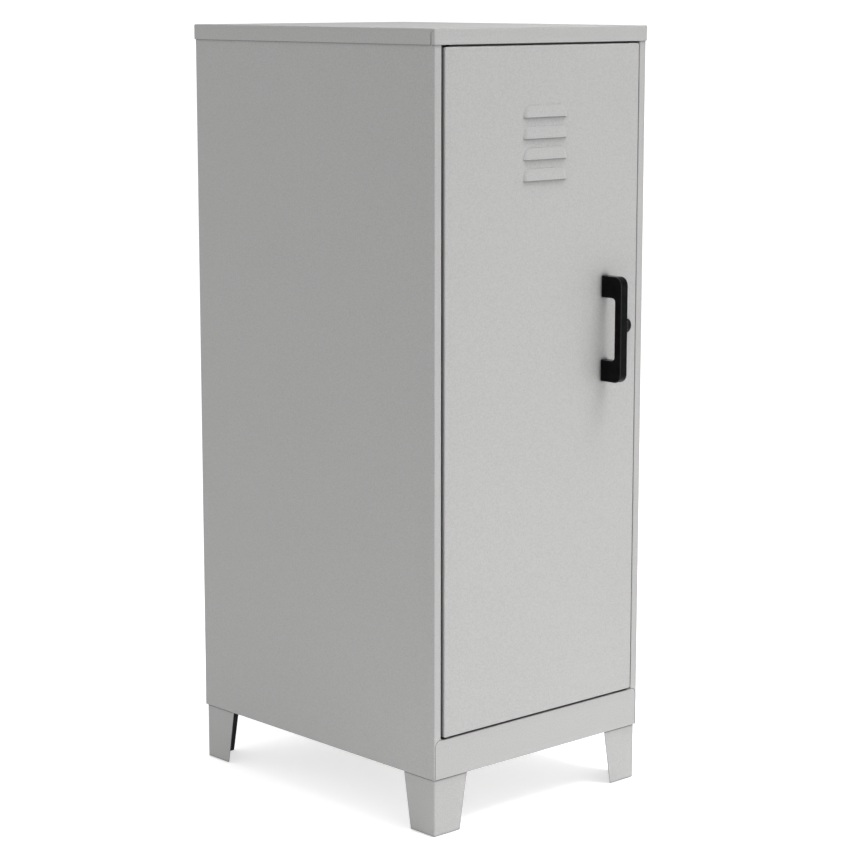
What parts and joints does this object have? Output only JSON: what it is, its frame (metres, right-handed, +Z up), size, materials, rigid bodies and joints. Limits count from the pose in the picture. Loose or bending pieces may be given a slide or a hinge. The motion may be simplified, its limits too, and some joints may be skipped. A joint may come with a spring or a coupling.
{
  "type": "locker cabinet",
  "caption": "Free-standing steel locker cabinet with a louvered hinged door, bow handle, cam lock, lift-off shelves and angle legs.",
  "frame": {"origin": "on the floor, under the middle of the box around the whole cabinet with its handle", "axes": "+Z up, +Y to the back, +X to the right seen from the front; the door faces -Y"},
  "size_m": [0.362, 0.492, 0.977],
  "materials": {
    "powder_coat": "semi-matte light grey powder coat with a fine orange peel",
    "black_gloss": "glossy black moulded plastic",
    "black_matte": "matte black moulded plastic",
    "black_lock": "black-coated die-cast zinc",
    "zinc": "bright zinc plating",
    "nylon": "black nylon",
    "rubber": "matte black rubber"
  },
  "bodies": {
    "casing": {"lid": "powder_coat", "left_side_panel": "powder_coat", "right_side_panel": "powder_coat", "back_panel": "powder_coat", "top_rail": "powder_coat", "base_rail": "powder_coat", "floor_pan": "powder_coat", "leg_front_left": "powder_coat", "leg_front_right": "powder_coat", "leg_rear_left": "powder_coat", "leg_rear_right": "powder_coat", "leg_glide_front_left": "black_matte", "leg_glide_front_right": "black_matte", "leg_glide_rear_left": "black_matte", "leg_glide_rear_right": "black_matte", "leg_screw_front_left_a": "zinc", "leg_screw_front_left_b": "zinc", "leg_screw_front_right_a": "zinc", "leg_screw_front_right_b": "zinc", "leg_screw_rear_left_a": "zinc", "leg_screw_rear_left_b": "zinc", "leg_screw_rear_right_a": "zinc", "leg_screw_rear_right_b": "zinc", "shelf_standard_front_left": "powder_coat", "shelf_standard_front_right": "powder_coat", "shelf_standard_rear_left": "powder_coat", "shelf_standard_rear_right": "powder_coat", "shelf_clip_lower_front_left": "zinc", "shelf_clip_lower_front_right": "zinc", "shelf_clip_lower_rear_left": "zinc", "shelf_clip_lower_rear_right": "zinc", "shelf_clip_upper_front_left": "zinc", "shelf_clip_upper_front_right": "zinc", "shelf_clip_upper_rear_left": "zinc", "shelf_clip_upper_rear_right": "zinc", "hinge_pin_top": "zinc", "hinge_pin_bottom": "zinc", "door_bumper_upper": "rubber", "door_bumper_lower": "rubber", "magnetic_catch": "rubber"},
    "door": {"door_panel": "powder_coat", "door_stiffener": "powder_coat", "handle": "black_gloss", "handle_screw_upper": "zinc", "handle_screw_lower": "zinc", "lock_housing": "black_lock", "lock_nut": "zinc", "hinge_bush_top": "nylon", "hinge_bush_bottom": "nylon"},
    "lock_barrel": {"lock_plug": "black_lock", "lock_cam": "zinc", "lock_cam_screw": "zinc"},
    "lower_shelf": {"shelf_lower": "powder_coat"},
    "upper_shelf": {"shelf_upper": "powder_coat"}
  },
  "joints": [
    {"name": "door_hinge", "type": "hinge", "parent": "casing", "child": "door", "pos_m": [-0.1532, -0.204, 0.5401], "axis": [0, 0, -1], "range_deg": [0, 115]},
    {"name": "lock_turn", "type": "hinge", "parent": "door", "child": "lock_barrel", "pos_m": [0.1445, -0.202, 0.6025], "axis": [0, -1, 0], "range_deg": [0, 90]},
    {"name": "lower_shelf_lift", "type": "slide", "parent": "casing", "child": "lower_shelf", "axis": [0, 0, 1], "range_m": [0, 0.025]},
    {"name": "upper_shelf_lift", "type": "slide", "parent": "casing", "child": "upper_shelf", "axis": [0, 0, 1], "range_m": [0, 0.025]}
  ]
}
